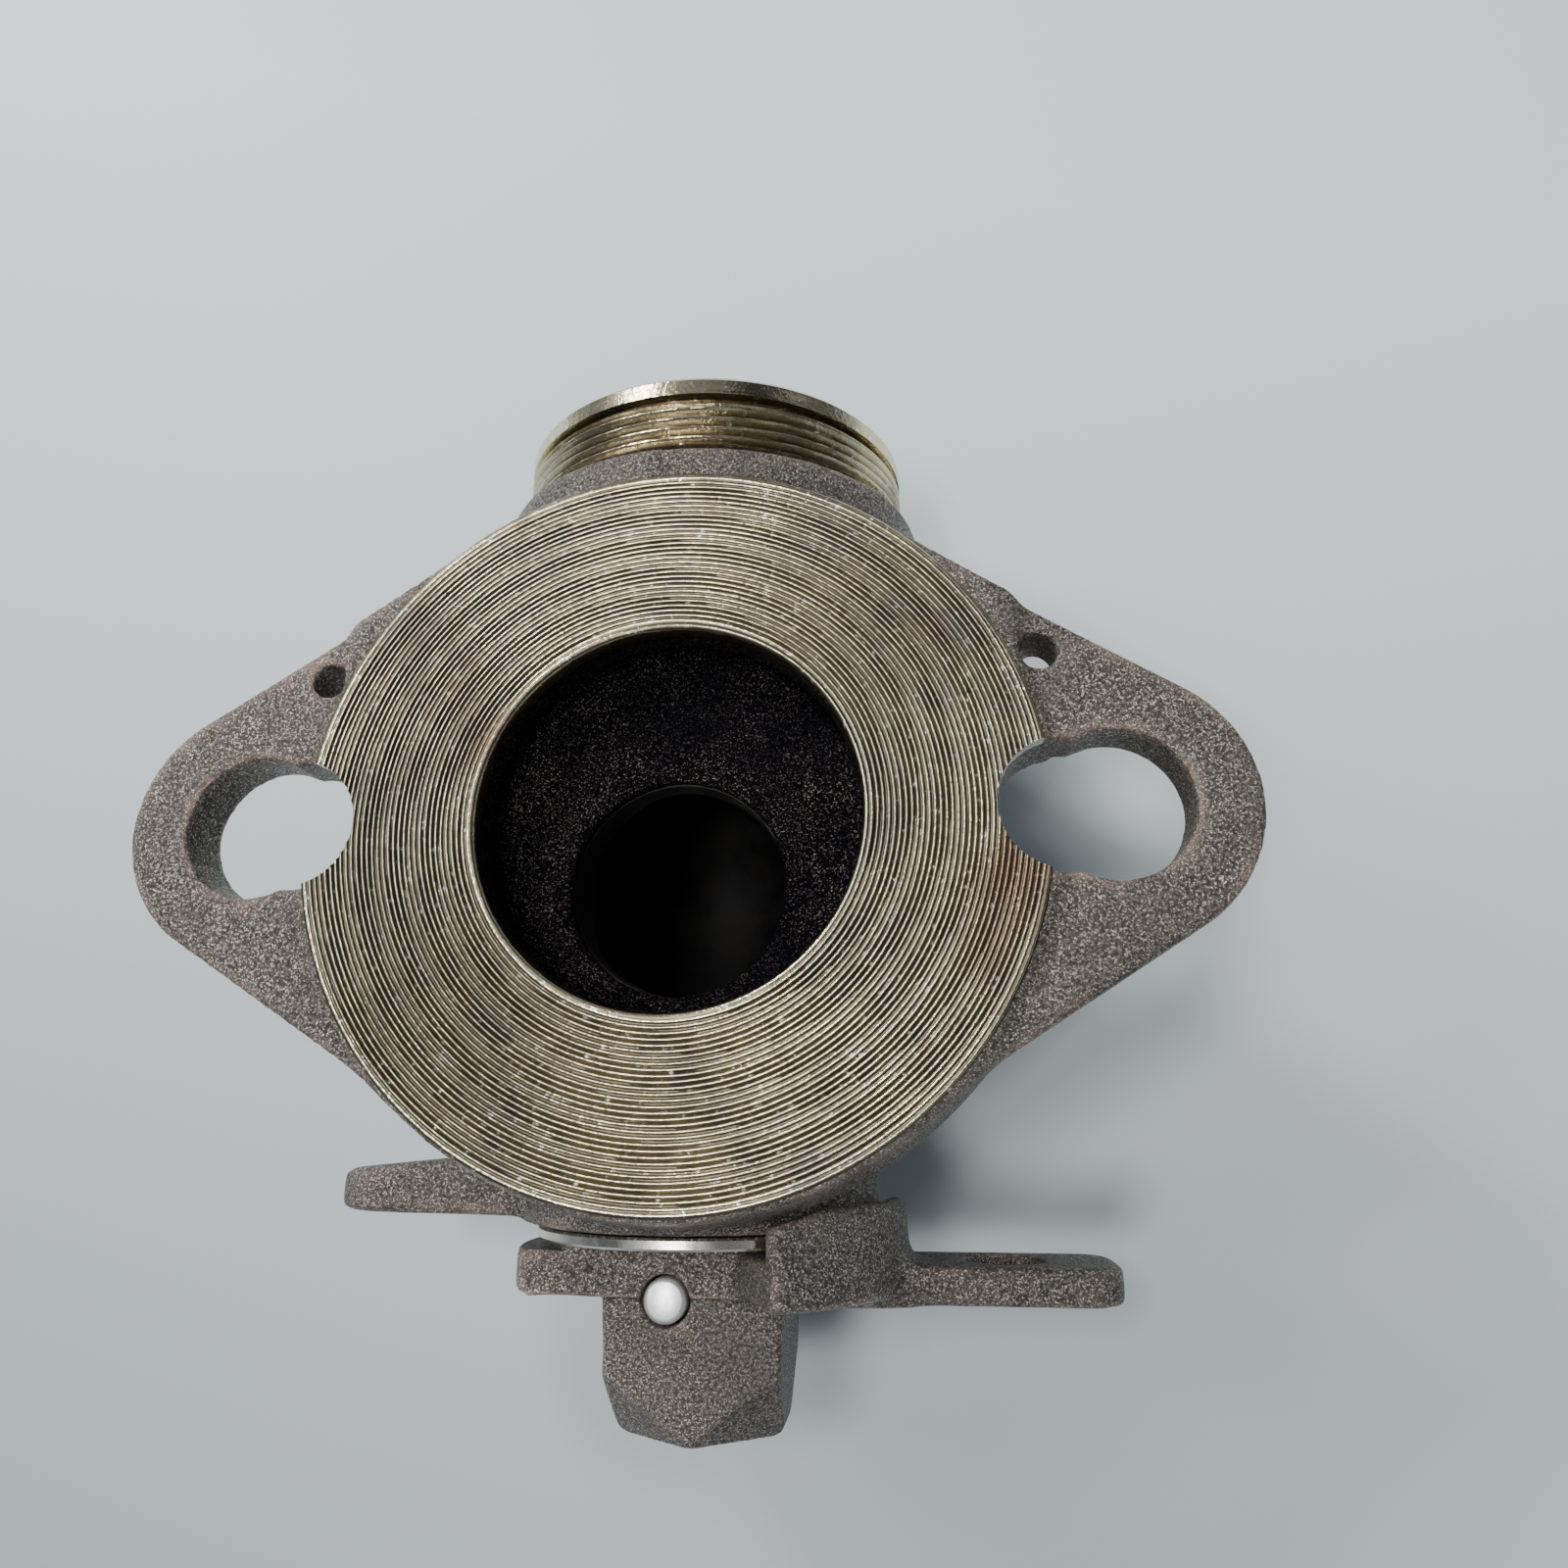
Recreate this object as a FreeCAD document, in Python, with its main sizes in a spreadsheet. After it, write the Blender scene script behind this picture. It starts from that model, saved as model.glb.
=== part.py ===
import FreeCAD, Part
import math
import os
import Sketcher

# A two-inch angle meter valve.  The origin is the centre of the raised outlet face, +Z is that
# face's outward normal, +X runs along the two bolt ears and +Y runs from the stem to the inlet.

doc = FreeCAD.newDocument("AngleMeterValve")
sheet = doc.addObject("Spreadsheet::Sheet", "Sizes")

SIZES = {
    # outlet flange, measured down from its face
    "face_rad": 49.2, "face_rise": 1.8, "bore_rad": 25.4, "bore_floor": 9.5,
    "boss_rad": 51.7, "boss_top_rad": 49.8, "boss_top": 1.0, "boss_depth": 12.5,
    "ear_depth": 10.5, "ear_reach": 57.15, "ear_tip_rad": 18.0, "ear_flank_rad": 48.4,
    "shoulder_x": 46.0, "shoulder_y": 28.8, "shoulder_top_x": 27.0, "shoulder_top_y": 41.6,
    "bolt_far_x": 57.15, "bolt_far_rad": 9.65, "bolt_near_x": 50.8, "bolt_near_rad": 8.6,
    "wire_x": 48.7, "wire_y": 20.8, "wire_rad": 2.4,
    # casting round the stem axis, measured along Y
    "axis_depth": 34.6, "barrel_rad": 33.6, "barrel_back": 31.0, "barrel_front": 38.0,
    "neck_rad": 33.0, "hub_rad": 25.3, "hub_top": 42.0, "hub_end": 52.0,
    "pad_half_width": 19.0, "pad_half_length": 24.0, "pad_drop": 34.6,
    # closing plug and the cavity that it turns in
    "plug_rad": 20.5, "plug_hole_rad": 20.55, "plug_bore_rad": 16.5, "plug_back": 31.6,
    "plug_front": 26.7, "plug_floor": 24.0, "cavity_back": 32.0, "cavity_front": 27.0,
    "port_y": 8.0, "port_rad": 14.3, "slot_half": 4.0, "slot_length": 12.0, "slot_floor": 26.6,
    "ring_front_y": 16.0, "ring_back_y": 28.7, "ring_mid_rad": 19.3, "ring_tube": 1.1,
    "ring_groove_rad": 18.15, "ring_groove_half": 1.25,
    # outlet seat
    "seat_rad": 17.9, "seat_hole_rad": 18.0, "seat_bore_rad": 14.6, "seat_top": 11.3,
    "seat_saddle_rad": 20.6,
    # inlet spigot, and the retainer that is put in through it
    "pilot_rad": 25.95, "pilot_hole_rad": 26.0, "pilot_start": 27.05, "throat_rad": 17.0,
    "throat_top_rad": 22.0, "throat_top": 34.0, "socket_floor": 40.0, "socket_rad": 27.1,
    "socket_relief_rad": 27.4, "socket_relief": 0.8,
    "collar_rad": 34.2, "collar_round": 2.0, "collar_end": 54.5, "thread_rad": 31.3,
    "thread_start": 55.6, "thread_root_rad": 30.3, "relief_rad": 30.1, "relief_start": 62.9,
    "relief_end": 64.1, "inlet_face": 67.6, "inlet_bevel": 1.0,
    "seal_y": 31.0, "seal_mid_rad": 24.8, "seal_tube": 1.05, "seal_groove_rad": 23.7,
    "seal_groove_half": 1.3,
    # stem
    "stem_rad": 9.5, "stem_hole_rad": 9.55, "stem_flange_rad": 13.5, "flange_hole_rad": 13.6,
    "stem_flange_top": 32.05, "stem_flange_end": 34.7, "flange_hole_end": 36.0,
    "stem_end": 68.0, "tang_top": 27.0, "tang_half": 3.95, "tang_length": 11.5,
    "washer_top": 34.75, "washer_end": 35.95, "washer_rad": 13.4, "washer_hole_rad": 9.6,
    "stem_ring_inner_y": 40.5, "stem_ring_outer_y": 46.5, "stem_ring_mid_rad": 8.5,
    "stem_ring_tube": 0.95, "stem_groove_rad": 7.5, "stem_groove_half": 1.15,
    # tee cap and its pin
    "cap_washer_rad": 23.7, "cap_washer_top": 52.3, "cap_washer_end": 53.9,
    "cap_face": 53.95, "cap_face_rad": 21.0, "cap_hole_rad": 9.6, "cap_hole_end": 69.0,
    "disc_rad": 26.3, "disc_top": 55.0, "disc_end": 60.6, "disc_flat": 13.0,
    "skirt_rad": 29.3, "skirt_hole_rad": 25.8, "skirt_top": 48.6, "skirt_from": 26.5,
    "skirt_sweep": 63.5, "skirt_gap": 0.4,
    "head_half_width": 12.4, "head_x": 0.5, "head_half_depth": 12.6, "head_core_half": 10.6,
    "head_end": 79.0, "head_vee_side": 70.5, "head_vee_tip": 77.6,
    "pin_x": 3.0, "pin_y": 61.2, "pin_rad": 2.95, "pin_hole_rad": 3.2, "stem_pin_hole_rad": 2.97,
    "pin_half": 12.9,
    # padlock wings
    "wing_half": 9.0, "lock_x": 42.5, "lock_rad": 5.6,
    "cap_wing_reach": 58.0, "cap_wing_corner": 5.5, "cap_wing_top": 56.9, "cap_wing_end": 61.9,
    "body_wing_reach": 54.0, "body_wing_corner": 8.0, "body_wing_tip_top": 45.2,
    "body_wing_tip_end": 50.8, "body_wing_top": 40.0, "body_wing_end": 51.9,
    "notch_rad": 30.2, "notch_top": 47.4, "notch_from": 226.0, "notch_sweep": 47.5,
}

for row, (alias, number) in enumerate(SIZES.items(), start=1):
    sheet.set(f"A{row}", alias)
    sheet.set(f"B{row}", str(number))
    sheet.setAlias(f"B{row}", alias)
doc.recompute()


class Size:
    """A length from the sheet, or a sum or difference of such lengths, with its formula."""

    def __init__(self, formula, value):
        self.formula = formula
        self.value = value

    def __add__(self, other):
        other = as_size(other)
        return Size(f"({self.formula} + {other.formula})", self.value + other.value)

    def __sub__(self, other):
        other = as_size(other)
        return Size(f"({self.formula} - {other.formula})", self.value - other.value)

    def __neg__(self):
        return Size(f"(0 - {self.formula})", -self.value)


def as_size(length):
    """Take a plain number as a size too."""
    return length if isinstance(length, Size) else Size(f"{length:g}", float(length))


def cell(alias):
    """The sheet's length of that name."""
    return Size(f"Sizes.{alias}", float(sheet.get(alias)))


STEM_Z = -cell("axis_depth")
CLEAR = as_size(2)
TO_Z = FreeCAD.Rotation()
TO_Y = FreeCAD.Rotation(FreeCAD.Vector(1, 1, 1), 240)
UPRIGHT = FreeCAD.Rotation(FreeCAD.Vector(1, 0, 0), 90)


def bind(item, **properties):
    """Bind each named property of an object to a size."""
    for name, length in properties.items():
        item.setExpression(name, as_size(length).formula)


def put(item, x=0, y=0, z=0, turn=TO_Z):
    """Place an object, with each coordinate bound to its size."""
    item.Placement = FreeCAD.Placement(FreeCAD.Vector(), turn)
    for name, length in (("x", x), ("y", y), ("z", z)):
        item.setExpression(f"Placement.Base.{name}", as_size(length).formula)
    return item


def bar(name, radius, low, high, turn=TO_Z, x=0, y=0, z=0):
    """A round bar along Z or Y, from one place on that axis to another."""
    item = doc.addObject("Part::Cylinder", name)
    bind(item, Radius=radius, Height=as_size(high) - low)
    along_y = turn is not TO_Z
    return put(item, x, low if along_y else y, z if along_y else low, turn)


def sector(name, radius, low, high, start, sweep, z=0):
    """A slice of a bar about the stem axis, its angles measured from +Z towards +X."""
    item = bar(name, radius, low, high, TO_Y, z=z)
    bind(item, Angle=sweep)
    turn = FreeCAD.Rotation(FreeCAD.Vector(0, 1, 0), start.value)
    item.Placement = FreeCAD.Placement(item.Placement.Base, turn.multiply(TO_Y))
    return item


def ring(name, middle_radius, tube_radius, y, z=STEM_Z):
    """A seal ring about the stem axis."""
    item = doc.addObject("Part::Torus", name)
    bind(item, Radius1=middle_radius, Radius2=tube_radius)
    return put(item, 0, y, z, TO_Y)


def block(name, low, high):
    """A block between two corners."""
    item = doc.addObject("Part::Box", name)
    low = [as_size(length) for length in low]
    sides = [as_size(top) - bottom for bottom, top in zip(low, high)]
    bind(item, Length=sides[0], Width=sides[1], Height=sides[2])
    return put(item, *low)


def fused(name, *items):
    """One solid from several that overlap."""
    item = doc.addObject("Part::MultiFuse", name)
    item.Shapes = list(items)
    item.Refine = True
    return item


def cut(name, base, *tools):
    """A solid with others cut away."""
    item = doc.addObject("Part::Cut", name)
    item.Base = base
    item.Tool = tools[0] if len(tools) == 1 else fused(name + "Tools", *tools)
    item.Refine = True
    return item


def shared(name, first, second):
    """What two solids have in common."""
    item = doc.addObject("Part::Common", name)
    item.Base = first
    item.Tool = second
    return item


def new_sketch(body, name, role):
    """An empty sketch on a plane of a body's own origin."""
    sketch = body.newObject("Sketcher::SketchObject", name)
    plane = next(part for part in body.Origin.OriginFeatures if part.Role == role)
    sketch.AttachmentSupport = [(plane, "")]
    sketch.MapMode = "FlatFace"
    return sketch


def pin_point(sketch, edge, end, across, up):
    """Hold an edge's end, or an arc's centre, at two sizes from the sketch's origin."""
    for kind, length in (("DistanceX", across), ("DistanceY", up)):
        rule = Sketcher.Constraint(kind, -1, 1, edge, end, as_size(length).value)
        number = sketch.addConstraint(rule)
        sketch.setExpression(f"Constraints[{number}]", as_size(length).formula)


def outline(body, name, role, corners):
    """A closed sketch of straight sides, with every corner bound to two sizes."""
    sketch = new_sketch(body, name, role)
    points = [FreeCAD.Vector(as_size(across).value, as_size(up).value, 0)
              for across, up in corners]
    for index, point in enumerate(points):
        after = points[(index + 1) % len(points)]
        sketch.addGeometry(Part.LineSegment(point, after), False)
    for index, (across, up) in enumerate(corners):
        before = (index - 1) % len(points)
        sketch.addConstraint(Sketcher.Constraint("Coincident", before, 2, index, 1))
        pin_point(sketch, index, 1, across, up)
    return sketch


def turned(name, corners):
    """A body turned about the stem axis, from corners given as radius and place along Y."""
    body = doc.addObject("PartDesign::Body", name)
    sketch = outline(body, name + "Profile", "XY_Plane", corners)
    turn = body.newObject("PartDesign::Revolution", name + "Turn")
    turn.Profile = sketch
    turn.ReferenceAxis = (sketch, ["V_Axis"])
    turn.Angle = 360
    return body


def pad(body, sketch, low, high):
    """Give a sketch's outline its thickness, between two heights over the sketch plane."""
    sketch.setExpression("AttachmentOffset.Base.z", as_size(low).formula)
    feature = body.newObject("PartDesign::Pad", sketch.Name + "Pad")
    feature.Profile = sketch
    feature.setExpression("Length", (as_size(high) - low).formula)
    return body


def plate(name, corners, low, high):
    """A straight-sided plate in the XY plane, between two heights."""
    body = doc.addObject("PartDesign::Body", name)
    return pad(body, outline(body, name + "Outline", "XY_Plane", corners), low, high)


def ear_plate():
    """The oval bolt plate: two round tips joined to a wide middle by tangent flanks."""
    body = doc.addObject("PartDesign::Body", "EarPlate")
    sketch = new_sketch(body, "EarOutline", "XY_Plane")
    reach, tip, middle = cell("ear_reach"), cell("ear_tip_rad"), cell("ear_flank_rad")
    lean = math.asin((middle.value - tip.value) / reach.value)
    rest = math.pi / 2 - lean
    turns = [-rest, rest, math.pi - rest, math.pi + rest, 2 * math.pi - rest]
    circles = [(reach, tip), (as_size(0), middle), (-reach, tip), (as_size(0), middle)]
    for number, (centre, radius) in enumerate(circles):
        circle = Part.Circle(FreeCAD.Vector(centre.value, 0, 0), FreeCAD.Vector(0, 0, 1),
                             radius.value)
        arc = Part.ArcOfCircle(circle, turns[number], turns[number + 1])
        sketch.addGeometry(arc, False)
    for number in range(len(circles)):
        following = (number + 1) % len(circles)
        first = sketch.getPoint(number, 2)
        last = sketch.getPoint(following, 1)
        flank = sketch.addGeometry(Part.LineSegment(first, last), False)
        sketch.addConstraint(Sketcher.Constraint("Tangent", number, 2, flank, 1))
        sketch.addConstraint(Sketcher.Constraint("Tangent", flank, 2, following, 1))
    for number, (centre, radius) in enumerate(circles):
        pin_point(sketch, number, 3, centre, 0)
        rule = sketch.addConstraint(Sketcher.Constraint("Radius", number, radius.value))
        sketch.setExpression(f"Constraints[{rule}]", radius.formula)
    return pad(body, sketch, -cell("ear_depth"), -cell("face_rise"))


def wing(name, side, reach, corner, low, high, z):
    """A padlock wing on the stem axis, towards +X or -X, with two rounded corners."""
    half = cell("wing_half")

    def span(name, length, half_height):
        ends = (as_size(0), length) if side > 0 else (-length, as_size(0))
        return block(name, (ends[0], low, z - half_height), (ends[1], high, z + half_height))

    middle = reach - corner if side > 0 else corner - reach
    pieces = [span(name + "Long", reach, half - corner), span(name + "Wide", reach - corner, half)]
    for number, height in enumerate((z + half - corner, z - half + corner)):
        pieces.append(bar(f"{name}Corner{number}", corner, low, high, TO_Y, x=middle, z=height))
    hole_x = cell("lock_x") if side > 0 else -cell("lock_x")
    hole = bar(name + "Hole", cell("lock_rad"), low - CLEAR, high + CLEAR, TO_Y, x=hole_x, z=z)
    return cut(name, fused(name + "Solid", *pieces), hole)


def finish(item, name, z=None):
    """Name a finished sub-part, and lower it to the stem axis if it was made about Y."""
    item.Label = name
    return item if z is None else put(item, z=z)


# The casting: flange, ears, neck, barrel, stem hub, inlet spigot and one padlock wing, then
# what is cut in it.
barrel = put(turned("Barrel", [
    (0, -cell("hub_end")),
    (cell("hub_rad"), -cell("hub_end")),
    (cell("hub_rad"), -cell("hub_top")),
    (cell("barrel_rad"), -cell("barrel_back")),
    (cell("barrel_rad"), cell("barrel_front")),
    (0, cell("barrel_front")),
]), z=STEM_Z)
core = put(turned("Core", [
    (0, -cell("hub_end") - CLEAR),
    (cell("stem_hole_rad"), -cell("hub_end") - CLEAR),
    (cell("stem_hole_rad"), -cell("flange_hole_end")),
    (cell("flange_hole_rad"), -cell("flange_hole_end")),
    (cell("flange_hole_rad"), -cell("cavity_back")),
    (cell("plug_hole_rad"), -cell("cavity_back")),
    (cell("plug_hole_rad"), cell("cavity_front")),
    (cell("pilot_hole_rad"), cell("cavity_front")),
    (cell("pilot_hole_rad"), cell("socket_floor")),
    (cell("socket_relief_rad"), cell("socket_floor")),
    (cell("socket_relief_rad"), cell("socket_floor") + cell("socket_relief")),
    (cell("socket_rad"), cell("socket_floor") + cell("socket_relief")),
    (cell("socket_rad"), cell("inlet_face") - cell("inlet_bevel")),
    (cell("socket_rad") + cell("inlet_bevel"), cell("inlet_face")),
    (cell("socket_rad") + cell("inlet_bevel"), cell("inlet_face") + CLEAR),
    (0, cell("inlet_face") + CLEAR),
]), z=STEM_Z)
spigot = put(turned("Spigot", [
    (0, cell("barrel_front") - CLEAR),
    (cell("collar_rad"), cell("barrel_front") - CLEAR),
    (cell("collar_rad"), cell("collar_end") - cell("collar_round")),
    (cell("collar_rad") - cell("collar_round"), cell("collar_end")),
    (cell("thread_root_rad"), cell("collar_end")),
    (cell("thread_root_rad"), cell("thread_start")),
    (cell("thread_rad"), cell("thread_start")),
    (cell("thread_rad"), cell("relief_start")),
    (cell("relief_rad"), cell("relief_start")),
    (cell("relief_rad"), cell("relief_end")),
    (cell("thread_rad"), cell("relief_end")),
    (cell("thread_rad"), cell("inlet_face") - cell("inlet_bevel")),
    (cell("thread_rad") - cell("inlet_bevel"), cell("inlet_face")),
    (0, cell("inlet_face")),
]), z=STEM_Z)
boss = doc.addObject("Part::Cone", "Boss")
bind(boss, Radius1=cell("boss_rad"), Radius2=cell("boss_top_rad"),
     Height=cell("boss_depth") - cell("boss_top"))
put(boss, z=-cell("boss_depth"))
shoulder = plate("Shoulder", [
    (cell("shoulder_x"), 0),
    (cell("shoulder_x"), cell("shoulder_y")),
    (cell("shoulder_top_x"), cell("shoulder_top_y")),
    (-cell("shoulder_top_x"), cell("shoulder_top_y")),
    (-cell("shoulder_x"), cell("shoulder_y")),
    (-cell("shoulder_x"), 0),
], -cell("boss_depth"), -cell("boss_top"))
raised_face = bar("RaisedFace", cell("face_rad"), -cell("boss_depth"), 0)
neck = bar("Neck", cell("neck_rad"), STEM_Z, -cell("ear_depth"))
rest_pad = block("RestPad",
                 (-cell("pad_half_width"), -cell("pad_half_length"), STEM_Z - cell("pad_drop")),
                 (cell("pad_half_width"), cell("pad_half_length"), STEM_Z - cell("hub_rad")))
body_wing = shared("BodyWing",
                   wing("BodyWingTab", -1, cell("body_wing_reach"), cell("body_wing_corner"),
                        -cell("body_wing_end"), -cell("body_wing_top"), STEM_Z),
                   plate("BodyWingTaper", [
                       (0, -cell("body_wing_end")),
                       (0, -cell("body_wing_top")),
                       (-cell("body_wing_reach"), -cell("body_wing_tip_top")),
                       (-cell("body_wing_reach"), -cell("body_wing_tip_end")),
                   ], STEM_Z - cell("wing_half"), STEM_Z + cell("wing_half")))
casting = fused("Casting", barrel, spigot, neck, raised_face, boss, shoulder, ear_plate(),
                rest_pad, body_wing)

through_low = -cell("boss_depth") - CLEAR
hollows = [
    core,
    bar("OutletBore", cell("bore_rad"), -cell("bore_floor"), CLEAR),
    bar("OutletThroat", cell("seat_bore_rad"), STEM_Z, CLEAR, y=-cell("port_y")),
    bar("SeatPocket", cell("seat_hole_rad"), STEM_Z, -cell("seat_top"), y=-cell("port_y")),
]
for sign, side in ((1, "Right"), (-1, "Left")):
    for use in ("far", "near"):
        place = cell(f"bolt_{use}_x")
        hollows.append(bar(f"Bolt{use.title()}{side}", cell(f"bolt_{use}_rad"), through_low,
                           CLEAR, x=place if sign > 0 else -place))
    place = cell("wire_x")
    hollows.append(bar(f"WireHole{side}", cell("wire_rad"), through_low, CLEAR,
                       x=place if sign > 0 else -place, y=cell("wire_y")))
notch_low = -cell("body_wing_end") - CLEAR
notch = cut("Notch",
            sector("NotchOuter", cell("notch_rad"), notch_low, -cell("notch_top"),
                   cell("notch_from"), cell("notch_sweep"), STEM_Z),
            bar("NotchInner", cell("hub_rad"), notch_low, CLEAR, TO_Y, z=STEM_Z))
valve_body = finish(cut("ValveBody", casting, *hollows, notch), "valve_body")

# The retainer: a ring that goes in through the pipe socket and holds the plug in, with its seal.
retainer = finish(turned("Retainer", [
    (cell("throat_rad"), cell("pilot_start")),
    (cell("pilot_rad"), cell("pilot_start")),
    (cell("pilot_rad"), cell("seal_y") - cell("seal_groove_half")),
    (cell("seal_groove_rad"), cell("seal_y") - cell("seal_groove_half")),
    (cell("seal_groove_rad"), cell("seal_y") + cell("seal_groove_half")),
    (cell("pilot_rad"), cell("seal_y") + cell("seal_groove_half")),
    (cell("pilot_rad"), cell("socket_floor")),
    (cell("throat_top_rad"), cell("socket_floor")),
    (cell("throat_top_rad"), cell("throat_top")),
]), "plug_retainer", STEM_Z)
retainer_seal = finish(ring("RetainerSeal", cell("seal_mid_rad"), cell("seal_tube"),
                            cell("seal_y")), "retainer_oring")


def grooved(radius, groove_radius, half, places):
    """Corners of square seal grooves in a shaft, from the largest Y to the smallest."""
    corners = []
    for y in places:
        corners += [(radius, y + half), (groove_radius, y + half),
                    (groove_radius, y - half), (radius, y - half)]
    return corners


# The closing plug: a hollow cylinder, open towards the inlet, with one port in its side.
plug_rings = {"plug_oring_front": cell("ring_front_y"), "plug_oring_back": -cell("ring_back_y")}
plug_blank = turned("PlugBlank", [
    (0, -cell("plug_back")),
    (0, -cell("plug_floor")),
    (cell("plug_bore_rad"), -cell("plug_floor")),
    (cell("plug_bore_rad"), cell("plug_front")),
    (cell("plug_rad"), cell("plug_front")),
    *grooved(cell("plug_rad"), cell("ring_groove_rad"), cell("ring_groove_half"),
             plug_rings.values()),
    (cell("plug_rad"), -cell("plug_back")),
])
plug_port = bar("PlugPort", cell("port_rad"), 0, cell("plug_rad") + CLEAR, y=-cell("port_y"))
plug_slot = block("PlugSlot",
                  (-cell("slot_length"), -cell("plug_back") - CLEAR, -cell("slot_half")),
                  (cell("slot_length"), -cell("slot_floor"), cell("slot_half")))
plug = finish(cut("Plug", plug_blank, plug_port, plug_slot), "plug", STEM_Z)
plug_seals = [finish(ring(name.title().replace("_", ""), cell("ring_mid_rad"), cell("ring_tube"), y),
                     name) for name, y in plug_rings.items()]

# The outlet seat: a ring in the casting's pocket whose lower face is a saddle for the plug.
seat_blank = bar("SeatBlank", cell("seat_rad"), STEM_Z, -cell("seat_top"), y=-cell("port_y"))
seat_bore = bar("SeatBore", cell("seat_bore_rad"), STEM_Z - CLEAR, CLEAR, y=-cell("port_y"))
saddle = bar("Saddle", cell("seat_saddle_rad"), -cell("plug_back") - CLEAR, cell("plug_front"),
             TO_Y, z=STEM_Z)
seat = finish(cut("OutletSeat", seat_blank, seat_bore, saddle), "outlet_seat")

# The stem: a flange and tang inside, two seal grooves, and a plain end for the cap.
stem_rings = {"stem_oring_inner": -cell("stem_ring_inner_y"),
              "stem_oring_outer": -cell("stem_ring_outer_y")}
stem_turned = turned("StemTurned", [
    (0, -cell("stem_flange_top")),
    (cell("stem_flange_rad"), -cell("stem_flange_top")),
    (cell("stem_flange_rad"), -cell("stem_flange_end")),
    (cell("stem_rad"), -cell("stem_flange_end")),
    *grooved(cell("stem_rad"), cell("stem_groove_rad"), cell("stem_groove_half"),
             stem_rings.values()),
    (cell("stem_rad"), -cell("stem_end")),
    (0, -cell("stem_end")),
])
tang = block("Tang", (-cell("tang_length"), -cell("stem_flange_end"), -cell("tang_half")),
             (cell("tang_length"), -cell("tang_top"), cell("tang_half")))


def cross_bar(name, radius, half, z=0):
    """A round bar along Z where the pin crosses the stem, a little to one side of its axis."""
    bar_body = turned(name, [(0, -half), (radius, -half), (radius, half), (0, half)])
    return put(bar_body, -cell("pin_x"), -cell("pin_y"), z, UPRIGHT)


stem_pin_hole = cross_bar("StemPinHole", cell("stem_pin_hole_rad"), cell("pin_half"))
stem = finish(cut("Stem", fused("StemSolid", stem_turned, tang), stem_pin_hole), "stem", STEM_Z)
stem_seals = [finish(ring(name.title().replace("_", ""), cell("stem_ring_mid_rad"),
                          cell("stem_ring_tube"), y), name) for name, y in stem_rings.items()]


def washer(name, hole, outer, low, high):
    """A flat ring on the stem."""
    return turned(name, [(hole, low), (outer, low), (outer, high), (hole, high)])


thrust_washer = finish(washer("ThrustWasher", cell("washer_hole_rad"), cell("washer_rad"),
                              -cell("washer_end"), -cell("washer_top")),
                       "stem_thrust_washer", STEM_Z)
cap_washer = finish(washer("CapWasher", cell("cap_hole_rad"), cell("cap_washer_rad"),
                           -cell("cap_washer_end"), -cell("cap_washer_top")),
                    "cap_washer", STEM_Z)

# The tee cap: a disc with two flats, the skirt that stops it, a padlock wing and the tee head.
disc = shared("Disc",
              turned("DiscTurned", [
                  (0, -cell("disc_end")),
                  (cell("disc_rad"), -cell("disc_end")),
                  (cell("disc_rad"), -cell("disc_top")),
                  (cell("cap_face_rad"), -cell("disc_top")),
                  (cell("cap_face_rad"), -cell("cap_face")),
                  (0, -cell("cap_face")),
              ]),
              block("DiscFlats", (-cell("disc_rad"), -cell("disc_end"), -cell("disc_flat")),
                    (cell("disc_rad"), -cell("cap_face"), cell("disc_flat"))))
skirt_base = sector("SkirtBase", cell("skirt_rad"), -cell("disc_end"), -cell("disc_top"),
                    cell("skirt_from"), cell("skirt_sweep"))
skirt_wall = cut("SkirtWall",
                 sector("SkirtOuter", cell("skirt_rad"), -cell("disc_end"), -cell("skirt_top"),
                        cell("skirt_from"), cell("skirt_sweep")),
                 bar("SkirtHole", cell("skirt_hole_rad"), -cell("disc_end") - CLEAR, CLEAR, TO_Y),
                 bar("FlangeRoom", cell("boss_rad") + cell("skirt_gap"), 0, cell("axis_depth")))
cap_wing = wing("CapWing", 1, cell("cap_wing_reach"), cell("cap_wing_corner"),
                -cell("cap_wing_end"), -cell("cap_wing_top"), as_size(0))
head_right = cell("head_x") + cell("head_half_width")
head_left = cell("head_x") - cell("head_half_width")
head_core = block("HeadCore", (head_left, -cell("head_end"), -cell("head_core_half")),
                  (head_right, -cell("disc_top"), cell("head_core_half")))
head_face = plate("HeadFace", [
    (head_right, -cell("disc_top")),
    (head_left, -cell("disc_top")),
    (head_left, -cell("head_vee_side")),
    (cell("head_x"), -cell("head_vee_tip")),
    (head_right, -cell("head_vee_side")),
], -cell("head_half_depth"), cell("head_half_depth"))
cap_solid = fused("CapSolid", disc, skirt_base, skirt_wall, cap_wing, head_core, head_face)
cap_pin_hole = bar("CapPinHole", cell("pin_hole_rad"), -cell("disc_flat") - CLEAR,
                   cell("disc_flat") + CLEAR, x=-cell("pin_x"), y=-cell("pin_y"))
cap_stem_hole = bar("CapStemHole", cell("cap_hole_rad"), -cell("cap_hole_end"), CLEAR, TO_Y)
tee_cap = finish(cut("TeeCap", cap_solid, cap_pin_hole, cap_stem_hole), "tee_cap", STEM_Z)
drive_pin = finish(cross_bar("DrivePin", cell("pin_rad"), cell("pin_half"), STEM_Z), "drive_pin")

doc.recompute()

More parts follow.
